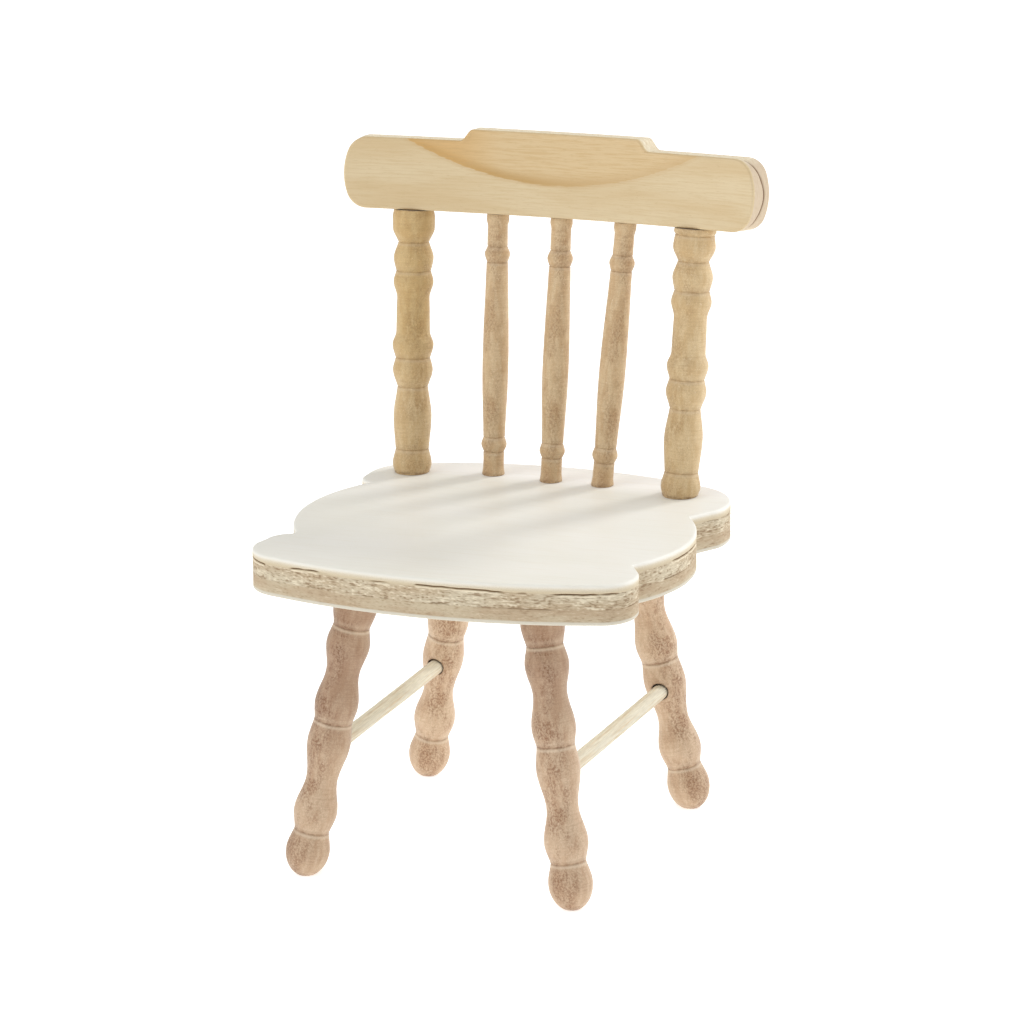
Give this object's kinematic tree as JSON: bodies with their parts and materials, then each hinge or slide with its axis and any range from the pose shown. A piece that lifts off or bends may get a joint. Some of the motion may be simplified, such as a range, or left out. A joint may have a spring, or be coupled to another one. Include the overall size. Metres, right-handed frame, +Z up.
{
  "type": "dolls house side chair",
  "caption": "Miniature spindle-back wooden side chair with turned splayed legs, side stretchers, a lobed plywood seat and a bent crest rail.",
  "frame": {"origin": "on the floor, under the middle of the chair's box", "axes": "+Z up, the seat's front edge faces -Y, the chair's width runs along X"},
  "size_m": [0.0552, 0.0514, 0.0839],
  "materials": {
    "seat_plywood": "smooth bare plywood, cream face with a rough sawn edge",
    "rail_plywood": "smooth bare plywood, honey coloured with a fine straight grain",
    "post_wood": "bare turned hardwood, golden brown with fine dark flecks",
    "spindle_wood": "bare turned hardwood, light tan with fine dark flecks",
    "leg_wood": "bare turned hardwood, pinkish brown with fine dark flecks",
    "dowel_wood": "bare pale dowel with a straight streaky grain"
  },
  "bodies": {
    "root": {"seat": "seat_plywood", "crest_rail": "rail_plywood", "back_post_left": "post_wood", "back_post_right": "post_wood", "spindle_left": "spindle_wood", "spindle_centre": "spindle_wood", "spindle_right": "spindle_wood", "front_leg_left": "leg_wood", "front_leg_right": "leg_wood", "rear_leg_left": "leg_wood", "rear_leg_right": "leg_wood", "side_stretcher_left": "dowel_wood", "side_stretcher_right": "dowel_wood"}
  },
  "joints": []
}
